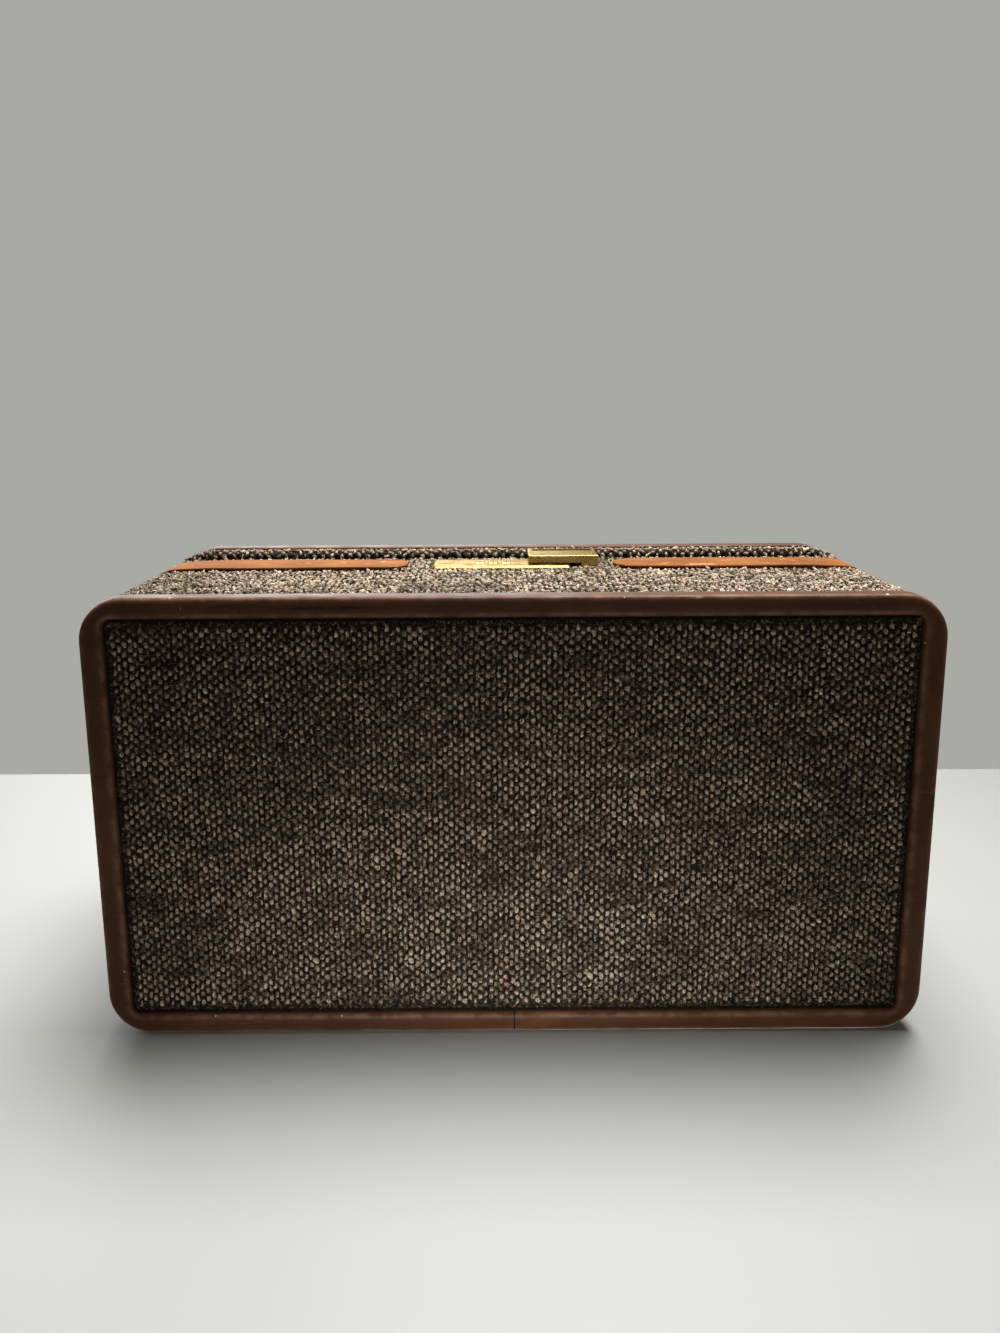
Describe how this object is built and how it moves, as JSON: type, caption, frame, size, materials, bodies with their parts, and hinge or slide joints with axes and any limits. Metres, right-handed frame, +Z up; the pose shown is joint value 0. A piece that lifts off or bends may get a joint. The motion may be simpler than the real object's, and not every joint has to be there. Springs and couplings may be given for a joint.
{
  "type": "cosmetic train case",
  "caption": "Small boarded travel case in woven cloth with moulded edges, leather belts, a dial lock, a hinged lid with stays and mirror, a carrying handle and a lift-out tray.",
  "frame": {"origin": "in the base plane, below the middle of the whole case's extent", "axes": "+X to the right seen from the front, -Y towards the front with the lock, +Z up"},
  "size_m": [0.3832, 0.2126, 0.2058],
  "materials": {
    "frame_board": "bare plywood",
    "tweed": "woven cloth, grey, taupe and cream knots",
    "moulding": "moulded brown vinyl with a soft gloss",
    "lining": "satin lining",
    "elastic": "ribbed elastic",
    "lip": "smooth brown",
    "leather": "waxed tan, worn",
    "brass": "polished, slightly tarnished",
    "steel": "zinc plated",
    "dial": "satin",
    "tray_plastic": "lined tray",
    "ledge": "covered batten",
    "tab": "soft strap",
    "mirror_rim": "padded rim",
    "mirror": "silvered"
  },
  "bodies": {
    "box": {"body_frame": "frame_board", "bottom_board": "frame_board", "body_tweed": "tweed", "bottom_tweed": "tweed", "bottom_moulding": "moulding", "body_lining": "lining", "dust_lip": "lip", "left_belt": "leather", "right_belt": "leather", "lock_plate": "brass", "lock_case": "steel", "lock_studs": "brass", "dial_shaft": "steel", "dial_spring": "steel", "left_hinge_box_leaf": "brass", "right_hinge_box_leaf": "brass", "hinge_pins": "brass", "box_hinge_rivets": "brass", "stay_studs": "brass", "tray_ledge_front": "ledge", "tray_ledge_back": "ledge", "pocket_front": "lining", "pocket_back": "lining", "pocket_elastics": "elastic"},
    "slider": {"slider_button": "brass", "slider_bolt": "steel"},
    "dial_1": {"dial_wheel_1": "dial"},
    "dial_2": {"dial_wheel_2": "dial"},
    "dial_3": {"dial_wheel_3": "dial"},
    "lid": {"lid_frame": "frame_board", "lid_board": "frame_board", "lid_tweed": "tweed", "lid_top_tweed": "tweed", "lid_moulding": "moulding", "lid_lining": "lining", "lid_strike": "steel", "strike_rivets": "brass", "left_hinge_lid_leaf": "brass", "right_hinge_lid_leaf": "brass", "lid_hinge_rivets": "brass", "stay_pivots": "brass", "mirror_frame": "mirror_rim", "mirror_glass": "mirror", "handle_mount_left": "brass", "handle_mount_right": "brass", "handle_mount_rivets": "brass", "handle_pins": "brass"},
    "left_stay": {"stay_arm_left": "steel"},
    "right_stay": {"stay_arm_right": "steel"},
    "handle": {"handle_core": "steel", "handle_grip": "leather", "handle_ferrules": "brass"},
    "tray": {"tray_shell": "tray_plastic", "tray_long_divider": "tray_plastic", "tray_cross_dividers": "tray_plastic", "tray_tabs": "tab"}
  },
  "joints": [
    {"name": "lid_hinge", "type": "hinge", "parent": "box", "child": "lid", "pos_m": [0, 0.10425, 0.14], "axis": [-1, 0, 0], "range_deg": [0, 100]},
    {"name": "left_stay_pivot", "type": "hinge", "parent": "lid", "child": "left_stay", "pos_m": [-0.1796, 0.04342, 0.152], "axis": [-1, 0, 0], "range_deg": [-50, 0]},
    {"name": "right_stay_pivot", "type": "hinge", "parent": "lid", "child": "right_stay", "pos_m": [0.1796, 0.04342, 0.152], "axis": [-1, 0, 0], "range_deg": [-50, 0]},
    {"name": "handle_swing", "type": "hinge", "parent": "lid", "child": "handle", "pos_m": [0, 0.00235, 0.199], "axis": [-1, 0, 0], "range_deg": [0, 180]},
    {"name": "latch_slide", "type": "slide", "parent": "box", "child": "slider", "axis": [-1, 0, 0], "range_m": [0, 0.0055]},
    {"name": "tray_lift", "type": "slide", "parent": "box", "child": "tray", "axis": [0, 0, 1], "range_m": [0, 0.04]},
    {"name": "dial_1_turn", "type": "hinge", "parent": "box", "child": "dial_1", "pos_m": [-0.016, -0.09795, 0.1075], "axis": [1, 0, 0], "continuous": true},
    {"name": "dial_2_turn", "type": "hinge", "parent": "box", "child": "dial_2", "pos_m": [-0.0092, -0.09795, 0.1075], "axis": [1, 0, 0], "continuous": true},
    {"name": "dial_3_turn", "type": "hinge", "parent": "box", "child": "dial_3", "pos_m": [-0.0024, -0.09795, 0.1075], "axis": [1, 0, 0], "continuous": true}
  ],
  "couplings": [
    {"joint": "left_stay_pivot", "follows": "lid_hinge", "ratio": -0.5},
    {"joint": "right_stay_pivot", "follows": "lid_hinge", "ratio": -0.5}
  ]
}
